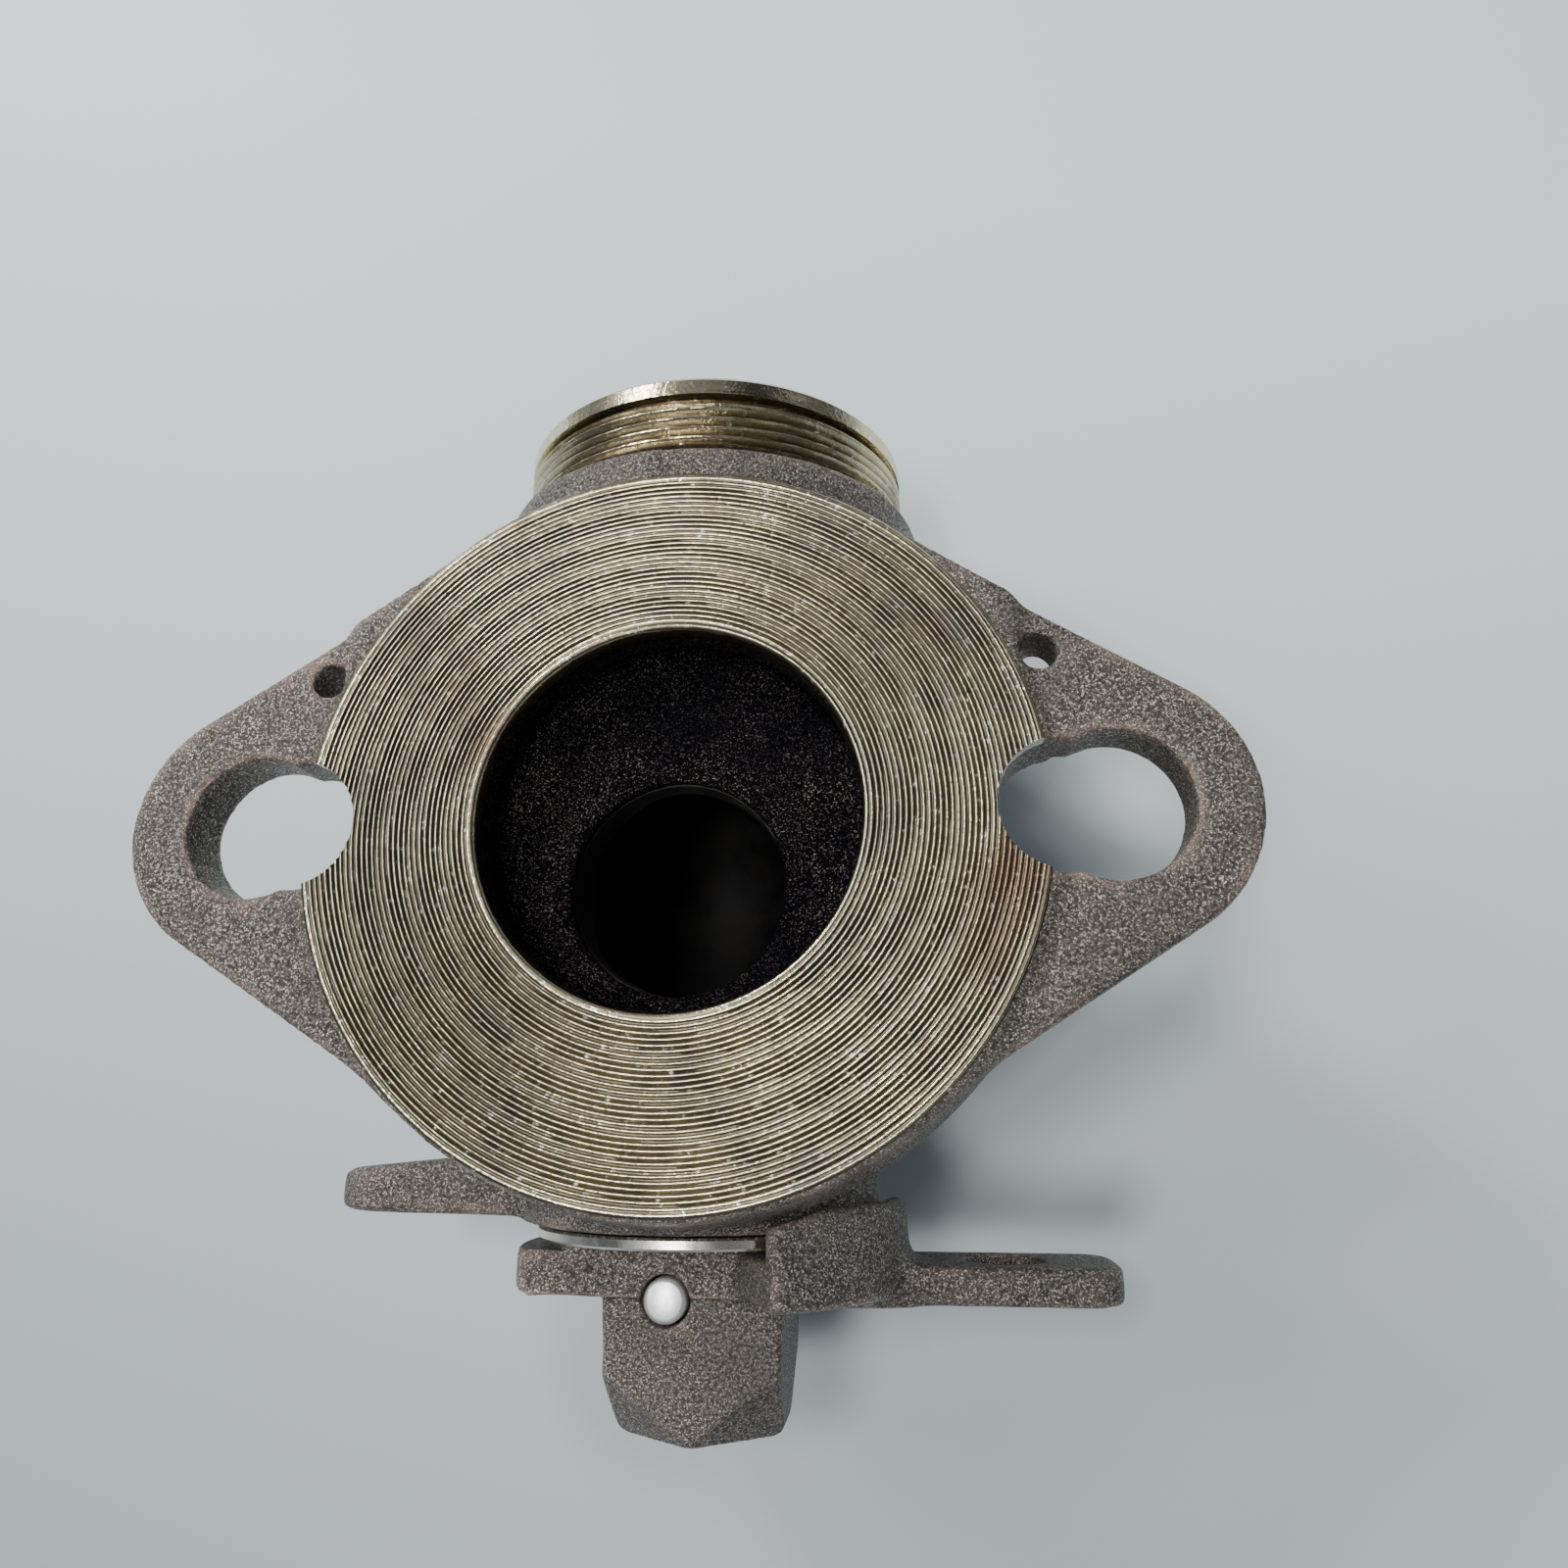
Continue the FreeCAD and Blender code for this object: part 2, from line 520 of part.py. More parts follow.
sub_parts = [valve_body, retainer, retainer_seal, plug, *plug_seals, seat, stem, *stem_seals,
             thrust_washer, cap_washer, tee_cap, drive_pin]
for item in doc.Objects:
    if {"Invalid", "Error"} & set(item.State):
        raise RuntimeError(f"{item.Name} failed: {item.State}")
for item in sub_parts:
    if item.Shape.isNull() or not item.Shape.isValid():
        raise RuntimeError(f"{item.Label} has no valid shape")

os.makedirs("parts", exist_ok=True)
for item in sub_parts:
    item.Shape.exportStep(f"parts/{item.Label}.step")
    size = item.Shape.BoundBox
    print(f"{item.Label}: {len(item.Shape.Solids)} solid, {item.Shape.Volume / 1000:.2f} cm3, "
          f"{size.XMin:.1f}..{size.XMax:.1f}, {size.YMin:.1f}..{size.YMax:.1f}, "
          f"{size.ZMin:.1f}..{size.ZMax:.1f}")
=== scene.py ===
# %% [markdown]
# A two-inch angle meter valve, lying on its back.  A bronze casting turns the water through a
# right angle, from the threaded inlet to the flat meter flange, and a tee cap turns the plug
# inside it.  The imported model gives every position, so its pieces and its box come first.

# %% Load the frame
import math

import bmesh
import bpy
from mathutils import Matrix, Vector


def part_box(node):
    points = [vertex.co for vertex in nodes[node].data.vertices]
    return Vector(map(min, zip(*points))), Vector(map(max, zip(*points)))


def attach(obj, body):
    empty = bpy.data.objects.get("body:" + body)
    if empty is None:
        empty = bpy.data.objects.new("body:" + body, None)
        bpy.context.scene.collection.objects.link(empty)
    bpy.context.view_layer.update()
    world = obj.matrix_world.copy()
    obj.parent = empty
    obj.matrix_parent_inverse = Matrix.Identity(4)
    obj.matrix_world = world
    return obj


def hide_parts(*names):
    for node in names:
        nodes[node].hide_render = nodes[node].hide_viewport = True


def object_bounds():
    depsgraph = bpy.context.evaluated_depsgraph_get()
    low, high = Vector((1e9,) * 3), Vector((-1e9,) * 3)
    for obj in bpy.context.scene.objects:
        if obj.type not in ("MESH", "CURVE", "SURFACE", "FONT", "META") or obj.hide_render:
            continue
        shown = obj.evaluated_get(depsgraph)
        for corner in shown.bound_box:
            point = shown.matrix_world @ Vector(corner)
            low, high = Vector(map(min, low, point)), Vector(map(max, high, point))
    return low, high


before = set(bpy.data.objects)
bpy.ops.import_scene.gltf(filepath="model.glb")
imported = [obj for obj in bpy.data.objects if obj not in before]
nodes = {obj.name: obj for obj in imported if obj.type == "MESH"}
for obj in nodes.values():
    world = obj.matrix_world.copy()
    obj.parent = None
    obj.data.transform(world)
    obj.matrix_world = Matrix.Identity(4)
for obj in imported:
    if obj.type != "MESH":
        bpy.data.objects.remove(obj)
cad_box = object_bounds()
MM = 0.001
print("pieces in the frame:", len(nodes))

# %% [markdown]
# The stem axis runs along Y, and everything that turns is placed on it.  Its depth below the
# flange face comes from the middle of the plug's box, and the raised face is the height zero.

# %% Sizes from the frame, in millimetres


def span(node, axis):
    """A node's lowest and highest place along one axis, in millimetres."""
    low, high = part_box(node)
    return low[axis] / MM, high[axis] / MM


STEM_DEPTH = -sum(span("plug", 2)) / 2
HUB_END = -span("valve_body", 1)[0]
BASE_DEPTH = -span("valve_body", 2)[0]
INLET_END = span("valve_body", 1)[1]
print(f"stem axis {STEM_DEPTH:.1f} deep, inlet face at {INLET_END:.1f}")

# %% [markdown]
# Node trees hold most of the maths here, for shapes as well as for finishes.  One small class
# wraps a socket, so that an ordinary expression such as 1 - mask adds the Math nodes itself.

# %% A socket that does sums


class Val:
    """A socket used in arithmetic: each operator adds one Math node to its tree."""

    def __init__(self, graph, socket):
        self.graph = graph
        self.socket = socket

    def sum(self, operation, *others, clamp=False):
        """One Math node on this value and up to two others."""
        node = self.graph.tree.nodes.new("ShaderNodeMath")
        node.operation = operation
        node.use_clamp = clamp
        for socket, value in zip(node.inputs, (self, *others)):
            self.graph.feed(socket, value)
        return Val(self.graph, node.outputs[0])

    def __add__(self, other):
        return self.sum("ADD", other)

    def __sub__(self, other):
        return self.sum("SUBTRACT", other)

    def __mul__(self, other):
        return self.sum("MULTIPLY", other)

    def __truediv__(self, other):
        return self.sum("DIVIDE", other)

    def __rsub__(self, other):
        return self.sum("MULTIPLY", -1.0).sum("ADD", other)

    def __neg__(self):
        return self.sum("MULTIPLY", -1.0)

    def __abs__(self):
        return self.sum("ABSOLUTE")

    __radd__ = __add__
    __rmul__ = __mul__

    def within(self, low, high):
        """0 below low, 1 above high and straight between, for either order of the two."""
        return ((self - low) / (high - low)).sum("ADD", 0.0, clamp=True)


def both(first, second, blend=0.0):
    """Where two solids meet: the larger distance, with the edge rounded by blend."""
    return first.sum("SMOOTH_MAX", second, blend) if blend else first.sum("MAXIMUM", second)


def either(first, second, blend=0.0):
    """Two solids together: the smaller distance, with a fillet from blend."""
    return first.sum("SMOOTH_MIN", second, blend) if blend else first.sum("MINIMUM", second)


def without(solid, hollow, blend=0.0):
    """A solid with a hollow taken out of it."""
    return both(solid, -hollow, blend)


def across(first, second):
    """The length of a line from its two legs."""
    return (first * first + second * second).sum("SQRT")


print("sums ready")

# %% [markdown]
# Every other node comes from one method.  It sets the node up, feeds its sockets, and hands
# back the output wanted, so a tree reads from top to bottom as a short recipe.

# %% A tree that makes its own nodes


class Graph:
    """A node tree with one way to add a node."""

    def __init__(self, tree):
        self.tree = tree

    def feed(self, socket, value):
        """Link a value to a socket, or set the socket to a constant."""
        if isinstance(value, Val):
            self.tree.links.new(value.socket, socket)
        else:
            socket.default_value = value

    def add(self, kind, settings=None, output=0, **inputs):
        """One node: its settings first, then its sockets by name, with _ for a space."""
        node = self.tree.nodes.new(kind)
        for name, value in (settings or {}).items():
            if name == "stops":
                self.set_stops(node.color_ramp, value)
            else:
                setattr(node, name, value)
        for name, value in inputs.items():
            key = int(name[1:]) if name[1:].isdigit() else name.replace("_", " ")
            self.feed(node.inputs[key], value)
        return Val(self, node.outputs[output])

    @staticmethod
    def set_stops(ramp, stops):
        """Give a colour ramp its stops, as (place, colour) pairs."""
        while len(ramp.elements) < len(stops):
            ramp.elements.new(1.0)
        for element, (place, colour) in zip(ramp.elements, stops):
            element.position = place
            element.color = (*colour, 1.0)


class ShapeGraph(Graph):
    """A Geometry Nodes tree whose sizes are named inputs."""

    KINDS = {float: "NodeSocketFloat", int: "NodeSocketInt", bool: "NodeSocketBool"}

    def __init__(self, name):
        super().__init__(bpy.data.node_groups.new(name, "GeometryNodeTree"))
        face = self.tree.interface
        face.new_socket("Geometry", in_out="INPUT", socket_type="NodeSocketGeometry")
        face.new_socket("Geometry", in_out="OUTPUT", socket_type="NodeSocketGeometry")
        self.start = self.tree.nodes.new("NodeGroupInput")

    def size(self, name, value):
        """A named input with its usual value."""
        kind = self.KINDS[type(value)]
        socket = self.tree.interface.new_socket(name, in_out="INPUT", socket_type=kind)
        socket.default_value = value
        return Val(self, self.start.outputs[name])

    def finish(self, geometry, material):
        """End the tree with real geometry in one material."""
        real = self.add("GeometryNodeRealizeInstances", Geometry=geometry)
        painted = self.add("GeometryNodeSetMaterial", Geometry=real, Material=material)
        end = self.tree.nodes.new("NodeGroupOutput")
        self.feed(end.inputs[0], painted)


print("trees ready")

# %% [markdown]
# A modifier is only a recipe.  These helpers run it once, keep the mesh that comes out, and
# drop the modifier, so that each finished piece is a plain mesh at the origin.

# %% Run a tree and keep its mesh


def run_tree(obj, graph, **sizes):
    """Give an object a tree as its modifier, with some of its inputs changed, and settle it."""
    modifier = obj.modifiers.new("shape", "NODES")
    modifier.node_group = graph.tree
    names = {item.name: item.identifier for item in graph.tree.interface.items_tree
             if item.in_out == "INPUT"}
    for name, value in sizes.items():
        modifier[names[name.replace("_", " ")]] = value
    settle(obj)


def settle(obj):
    """Keep what an object's modifiers make as its plain mesh."""
    depsgraph = bpy.context.evaluated_depsgraph_get()
    mesh = bpy.data.meshes.new_from_object(obj.evaluated_get(depsgraph))
    obj.modifiers.clear()
    obj.data = mesh


def new_object(name, points=()):
    """An object with some loose points in it."""
    mesh = bpy.data.meshes.new(name)
    mesh.from_pydata([tuple(point) for point in points], [], [])
    obj = bpy.data.objects.new(name, mesh)
    bpy.context.scene.collection.objects.link(obj)
    return obj


def tidy_mesh(obj, sharp):
    """Merge a mesh's doubles, turn its faces outwards and mark its sharp edges."""
    shell = bmesh.new()
    shell.from_mesh(obj.data)
    bmesh.ops.remove_doubles(shell, verts=shell.verts, dist=1e-6)
    bmesh.ops.dissolve_degenerate(shell, edges=shell.edges, dist=1e-7)
    bmesh.ops.recalc_face_normals(shell, faces=shell.faces)
    open_edges = sum(1 for edge in shell.edges if len(edge.link_faces) != 2)
    shell.to_mesh(obj.data)
    shell.free()
    obj.data.shade_smooth()
    obj.data.set_sharp_from_angle(angle=math.radians(sharp))
    print(f"{obj.name}: {len(obj.data.polygons)} faces, {open_edges} open edges")


def join_body(obj, body, slot, *replaced):
    """Hang a finished piece on its body and hide the CAD nodes that it stands for."""
    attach(obj, body)
    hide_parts(*replaced)


print("mesh helpers ready")

# %% [markdown]
# The camera stands over the valve, a little to the stem's side of it and to its right, and
# looks down at about seventy degrees.  A fairly wide lens this close makes the near flange
# look large beside the inlet and the cap, which lie deeper.

# %% Camera
camera_data = bpy.data.cameras.new("camera")
camera_data.lens = 25.875
camera_data.sensor_width = 36.0
camera_data.clip_start = 0.005
camera = bpy.data.objects.new("camera", camera_data)
bpy.context.scene.collection.objects.link(camera)
forward = Vector((-0.1086, 0.2763, -0.9549)).normalized()
right = forward.cross(Vector((0.0312, 0.9611, 0.2745))).normalized()
upward = right.cross(forward)
turn = Matrix((right, upward, -forward)).transposed()
camera.matrix_world = Matrix.Translation((0.0311, -0.0366, 0.1376)) @ turn.to_4x4()
bpy.context.scene.camera = camera
print("camera at", [round(value, 4) for value in camera.location])

# %% [markdown]
# Bronze from a sand mould has a dark, grainy skin: brown-grey, with countless pale specks where a
# grain was rubbed, painted brighter as painted glints, and coppery wear along the edges.  Noise of
# several sizes makes the mottling, the grain and the specks, and the mesh's own curvature finds the
# edges.  Inside the waterway the skin is painted nearly black, as painted shade.

# %% Cast bronze


def new_material(name):
    """A material with its Principled shader, as (graph, shader)."""
    material = bpy.data.materials.new(name)
    material.use_nodes = True
    shader = material.node_tree.nodes["Principled BSDF"]
    return material, Graph(material.node_tree), shader


def noise(graph, place, scale, detail=3.0, roughness=0.6):
    """Soft random values at one scale, about 0.5 on average."""
    return graph.add("ShaderNodeTexNoise", output="Fac", Vector=place, Scale=scale,
                     Detail=detail, Roughness=roughness)


def mix(graph, amount, first, second):
    """A colour between two others."""
    return graph.add("ShaderNodeMix", {"data_type": "RGBA"}, output=2,
                     _0=amount, _6=first, _7=second)


def rgb(red, green, blue):
    """An opaque colour."""
    return (red, green, blue, 1.0)


def cast_bronze():
    """The as-cast skin, with painted glints on its specks and painted shade, nearly black, inside
    the waterway.
    """
    material, graph, shader = new_material("cast_bronze")
    place = graph.add("ShaderNodeTexCoord", output="Object")
    x, y, z = (graph.add("ShaderNodeSeparateXYZ", output=axis, Vector=place) / MM
               for axis in "XYZ")
    mottle = noise(graph, place, 110.0)
    grain = noise(graph, place, 2100.0, 4.0, 0.65)
    fine = noise(graph, place, 4200.0, 2.0)
    rubbed = noise(graph, place, 60.0, 5.0, 0.7)
    edge = graph.add("ShaderNodeNewGeometry", output="Pointiness").within(0.508, 0.56)
    # painted glints: rubbed grains get a pale, smoother and more metallic colour
    rubbed_and_painted_glint = fine.within(0.56, 0.62) * grain.within(0.46, 0.58) * rubbed.within(0.2, 0.6)
    wear = edge * rubbed.within(0.42, 0.68)
    dark = mix(graph, mottle.within(0.3, 0.7), rgb(0.034, 0.029, 0.026), rgb(0.072, 0.062, 0.054))
    skin = mix(graph, grain.within(0.40, 0.66), dark, rgb(0.195, 0.178, 0.163))
    skin = mix(graph, wear * 0.8, skin, rgb(0.55, 0.40, 0.32))
    skin = mix(graph, rubbed_and_painted_glint, skin, rgb(0.92, 0.82, 0.74))
    # painted shade: inside the waterway the colour goes nearly black and fully metallic
    inside = across(x, y).within(26.4, 25.5) * z.within(-0.5, -2.0) * z.within(-50.0, -45.0)
    skin = mix(graph, inside * (0.98 - 0.25 * rubbed_and_painted_glint), skin, rgb(0.003, 0.003, 0.005))
    graph.feed(shader.inputs["Base Color"], skin)
    graph.feed(shader.inputs["Metallic"], either(0.5 + 0.4 * rubbed_and_painted_glint + inside, 1.0))
    graph.feed(shader.inputs["Roughness"], 0.50 - 0.2 * rubbed_and_painted_glint - 0.1 * wear + 0.2 * inside)
    height = grain * 0.7 + fine * 0.3
    graph.feed(shader.inputs["Normal"], graph.add("ShaderNodeBump", Strength=0.9,
                                                  Distance=0.0004, Height=height))
    return material


CAST = cast_bronze()
print("made", CAST.name)

# %% [markdown]
# The machined surfaces show the same bronze bare: pale gold crests, with rougher valleys between
# them that painted shade makes dark.  A function of the place tells each finish where its valleys
# are, so the painted shade follows the very groove that the lathe cuts.

# %% Where the valleys are
FACE_PITCH = 0.72


def face_valley(x, y, z):
    """The spiral groove on the meter face."""
    turned = y.sum("ARCTAN2", x) / (2 * math.pi)
    wave = (across(x, y) / FACE_PITCH - turned).sum("PINGPONG", 0.5) * 2
    return wave.within(0.26, 0.50)


def spigot_valley(x, y, z):
    """Whatever lies deeper than the crests of the thread."""
    return across(x, z + STEM_DEPTH).within(31.1, 30.4)


print("the face's spiral advances", FACE_PITCH, "a turn")

# %% [markdown]
# On top of that go grey tarnish in patches, brown stains, black pits, and scratches where the
# bronze was knocked, smoother and coloured near white as painted glints, strongest along the face's
# rim.

# %% Machined bronze


def machined_bronze(name, valley, valley_shade_colour, roughness, streaks):
    """Bare turned bronze, rougher in its valleys and darkened there with painted shade."""
    material, graph, shader = new_material(name)
    place = graph.add("ShaderNodeTexCoord", output="Object")
    x, y, z = (graph.add("ShaderNodeSeparateXYZ", output=axis, Vector=place) / MM
               for axis in "XYZ")
    patches = noise(graph, place, 60.0, 6.0, 0.7)
    spots = noise(graph, place, 420.0, 4.0, 0.75)
    stain = noise(graph, place, 32.0, 2.0)
    scratch = noise(graph, place, 900.0, 3.0, 0.7)
    tool = noise(graph, graph.add("ShaderNodeVectorMath", {"operation": "MULTIPLY"},
                                  _0=place, _1=streaks), 1.0, 2.0)
    deep = valley(x, y, z)
    low = patches.within(0.42, 0.64)
    black = spots.within(0.67, 0.72)
    rim = across(x, y).within(46.8, 48.8)
    # painted glints: scratches are coloured near white and are smoother, strongest along the rim
    scratch_and_painted_glint = scratch.within(0.62, 0.66) * (0.5 + 0.5 * rim) * (1 - low * 0.5)
    crest = mix(graph, low * 0.6 + tool * 0.2, rgb(0.74, 0.65, 0.44), rgb(0.19, 0.175, 0.14))
    # painted shade: the valley floor is coloured dark, and darker still in the tarnished patches
    floor = mix(graph, low, valley_shade_colour, rgb(0.03, 0.028, 0.027))
    colour = mix(graph, deep * (1 - tool * 0.3), crest, floor)
    colour = mix(graph, stain.within(0.60, 0.70) * 0.6, colour, rgb(0.17, 0.105, 0.07))
    colour = mix(graph, scratch_and_painted_glint, colour, rgb(0.98, 0.95, 0.88))
    graph.feed(shader.inputs["Base Color"], mix(graph, black, colour, rgb(0.02, 0.02, 0.025)))
    graph.feed(shader.inputs["Metallic"], 1.0 - 0.5 * black)
    graph.feed(shader.inputs["Roughness"], roughness + 0.12 * low + 0.14 * deep - 0.08 * scratch_and_painted_glint)
    height = tool * 0.3 + scratch * 0.7
    graph.feed(shader.inputs["Normal"], graph.add("ShaderNodeBump", Strength=0.5,
                                                  Distance=0.0003, Height=height))
    return material


# The dark colours passed here are painted shade for each finish's valleys.
FACE = machined_bronze("machined_face", face_valley, rgb(0.065, 0.055, 0.036), 0.16,
                       (300, 300, 300))
TURNED = machined_bronze("machined_bronze", spigot_valley, rgb(0.16, 0.125, 0.065), 0.14,
                         (60, 1500, 60))
print("made", FACE.name, "and", TURNED.name)

# %% [markdown]
# The small pieces need finishes of their own: the zinc on the drive pin is blotched, the ring
# behind the cap is bright, the seals are satin black and the thrust washer is white plastic.

# %% Zinc, rubber and plastic


def simple_finish(name, first, second, metallic, roughness, scale):
    """Two colours in soft blotches, with the roughness following them."""
    material, graph, shader = new_material(name)
    place = graph.add("ShaderNodeTexCoord", output="Object")
    blotch = noise(graph, place, scale, 4.0).within(0.35, 0.65)
    fine = noise(graph, place, scale * 8.0, 2.0)
    graph.feed(shader.inputs["Base Color"], mix(graph, blotch, first, second))
    shader.inputs["Metallic"].default_value = metallic
    graph.feed(shader.inputs["Roughness"], roughness + 0.12 * blotch)
    graph.feed(shader.inputs["Normal"], graph.add("ShaderNodeBump", Strength=0.2,
                                                  Distance=0.0001, Height=fine))
    return material


# painted shade: the bronze pieces inside the casting are coloured nearly black
DULL_BRONZE_IN_SHADE = simple_finish("dull_bronze_in_painted_shade", rgb(0.006, 0.006, 0.007), rgb(0.016, 0.015, 0.014), 0.9, 0.6,
                     200)
RING = simple_finish("polished_ring", rgb(0.80, 0.78, 0.72), rgb(0.62, 0.60, 0.55), 1.0, 0.16, 150)
ZINC = simple_finish("zinc_steel", rgb(0.98, 1.0, 1.0), rgb(0.76, 0.81, 0.81), 0.85, 0.34, 620)
RUBBER = simple_finish("black_rubber", rgb(0.02, 0.02, 0.02), rgb(0.035, 0.035, 0.033), 0.0, 0.45,
                       300)
PLASTIC = simple_finish("white_plastic", rgb(0.80, 0.80, 0.77), rgb(0.72, 0.72, 0.70), 0.0, 0.5,
                        200)
print("finishes:", len(bpy.data.materials))

# %% [markdown]
# A casting has no sharp corner: every edge is rounded and every joint has a fillet.  Bevels on
# a mesh struggle where a round barrel runs into a cone and a flange.  Here the shape is one
# sum instead: a distance to each plain form, the smaller distance for a union, the larger for
# a cut, and a soft blend between them.  A volume takes that distance, and its surface is the
# mesh, with a little noise for the sand.

# %% From a distance to a mesh


def solid_from_distance(name, shape, low, high, voxel, material):
    """A closed mesh where shape(graph, x, y, z), a distance in millimetres, is below zero."""
    graph = ShapeGraph(name)
    sand = graph.size("Sand height", 0.10)
    place = graph.add("GeometryNodeInputPosition")
    x, y, z = (graph.add("ShaderNodeSeparateXYZ", output=axis, Vector=place) / MM
               for axis in "XYZ")
    distance = shape(graph, x, y, z)
    cells = [math.ceil((top - bottom) / voxel) for bottom, top in zip(low, high)]
    cloud = graph.add("GeometryNodeVolumeCube", Density=-distance, Background=-1.0,
                      Min=Vector(low) * MM, Max=Vector(high) * MM,
                      Resolution_X=cells[0], Resolution_Y=cells[1], Resolution_Z=cells[2])
    skin = graph.add("GeometryNodeVolumeToMesh", Volume=cloud, Threshold=0.0, Adaptivity=0.02)
    bumps = graph.add("ShaderNodeTexNoise", output="Fac", Vector=place, Scale=380.0, Detail=2.0)
    normal = graph.add("GeometryNodeInputNormal")
    lift = graph.add("ShaderNodeVectorMath", {"operation": "SCALE"}, _0=normal,
                     Scale=(bumps - 0.6) * sand * MM)
    rough = graph.add("GeometryNodeSetPosition", Geometry=skin, Offset=lift)
    graph.finish(rough, material)
    obj = new_object(name)
    run_tree(obj, graph)
    tidy_mesh(obj, 60)
    return obj


def slab(value, low, high):
    """The distance to the space between two parallel planes."""
    return abs(value - (low + high) / 2) - (high - low) / 2


def round_tab(x, w, near, far, half, corner):
    """A flat tab's outline, from x near to far, with rounded corners."""
    length = abs(x - (near + far) / 2) - (abs(far - near) / 2 - corner)
    width = abs(w) - (half - corner)
    inside = both(length, width).sum("MINIMUM", 0.0)
    outside = across(length.sum("MAXIMUM", 0.0), width.sum("MAXIMUM", 0.0))
    return inside + outside - corner


print("shape helpers ready")

# %% [markdown]
# Some sizes belong to more than one piece: the wings are alike on the casting and on the cap, the
# bolt slots go through the casting and through its face, and the pin goes through the cap.  Each
# bolt slot is two overlapping round holes.

# %% Sizes that pieces share
WING_HALF = 9.0
LOCK_X = 42.5
LOCK_RADIUS = 5.6
FAR_BOLT_X = 57.15
FAR_BOLT_RADIUS = 9.65
NEAR_BOLT_X = 50.8
NEAR_BOLT_RADIUS = 8.6
PIN_X = -3.0
PIN_Y = -61.2
SHARP_EDGE = 70
print("a wing is", 2 * WING_HALF, "wide and the bolts are", 2 * FAR_BOLT_X, "apart")

# %% [markdown]
# The casting is the flange with its two ears, a thick shoulder on the inlet's side, a neck, the
# barrel along the stem axis, the stem hub, a pad underneath and a padlock wing.  The ear's
# outline is the hull of a wide circle and a small one, which one closed formula gives.

# %% The casting's outer shape


def flange_shape(graph, x, y, z):
    """The oval flange: two ears, a round boss and the shoulder on the inlet's side."""
    reach = graph.size("Ear reach", FAR_BOLT_X)
    tip = 18.0
    flank = 48.4
    lean = (flank - tip) / FAR_BOLT_X
    upright = math.sqrt(1 - lean * lean)
    side = abs(x)
    share = ((side - abs(y) * (lean / upright)) / reach).sum("ADD", 0.0, clamp=True)
    ears = across(side - share * reach, y) - (flank - share * (flank - tip))
    ears = both(ears, slab(z, -10.5, -1.8), 1.8)
    from_axis = across(x, y)
    boss = both(from_axis - (49.6 - z * 0.165), slab(z, -12.5, -1.0), 1.2)
    slope = (side - 46.0) * 0.559 + (y - 28.8) * 0.829
    shoulder = both(both(both(side - 46.0, slope, 2.0), y - 41.6, 2.0), -y)
    shoulder = both(shoulder, slab(z, -12.5, -1.0), 1.6)
    return either(either(boss, shoulder, 0.8), ears, 2.5)


def barrel_shape(graph, x, y, w):
    """The barrel, the cone and the stem hub, about the stem axis."""
    radius = graph.size("Barrel radius", 33.6)
    from_stem = across(x, w)
    barrel = both(from_stem - radius, slab(y, -31.0, 38.0), 2.5)
    hub = both(from_stem - 25.3, slab(y, -HUB_END, -30.0), 1.2)
    cone = both((from_stem - 25.3 - (y + 42.0) * 0.755) * 0.8, slab(y, -42.0, -30.5))
    return either(either(barrel, cone, 2.0), hub, 2.5)


def body_wing_shape(x, y, w):
    """The casting's own padlock wing, thinner towards its tip, with its hole."""
    outline = round_tab(x, w, -54.0, 0.0, WING_HALF, 8.0)
    thick = both(y - (x * 0.0963 - 40.0), (x * -0.0204 - 51.9) - y)
    tab = both(outline, thick, 2.6)
    return without(tab, across(x + LOCK_X, w) - LOCK_RADIUS, 1.2)


def casting_outside(graph, x, y, z, w):
    """Everything that the casting has outside, cut flat underneath so that it lies still."""
    neck = both(across(x, y) - 33.0, slab(z, -STEM_DEPTH, -10.0))
    body = either(barrel_shape(graph, x, y, w), neck, 5.0)
    collar = across(x, w) - (34.2 - (x + 2.5).within(-0.2, 0.2) * 0.3)
    body = either(body, both(collar, slab(y, 34.0, 54.4), 3.0), 0.6)
    body = either(body, flange_shape(graph, x, y, z), 1.5)
    pad = both(both(slab(x, -19.0, 19.0), slab(y, -24.0, 24.0), 3.0),
               slab(z, -BASE_DEPTH, -50.0), 1.6)
    body = either(body, pad, 4.0)
    body = either(body, body_wing_shape(x, y, w), 2.5)
    return both(body, 0.1 - BASE_DEPTH - z)


print("the casting is", BASE_DEPTH, "deep")

# %% [markdown]
# Inside are the outlet bore, the throat down to the plug, the plug's own cavity, the hole for
# the stem, and through the flange the bolt slots and the two seal wire holes.  Each one is
# another distance, taken away from the outside.

# %% The casting's hollows and its mesh


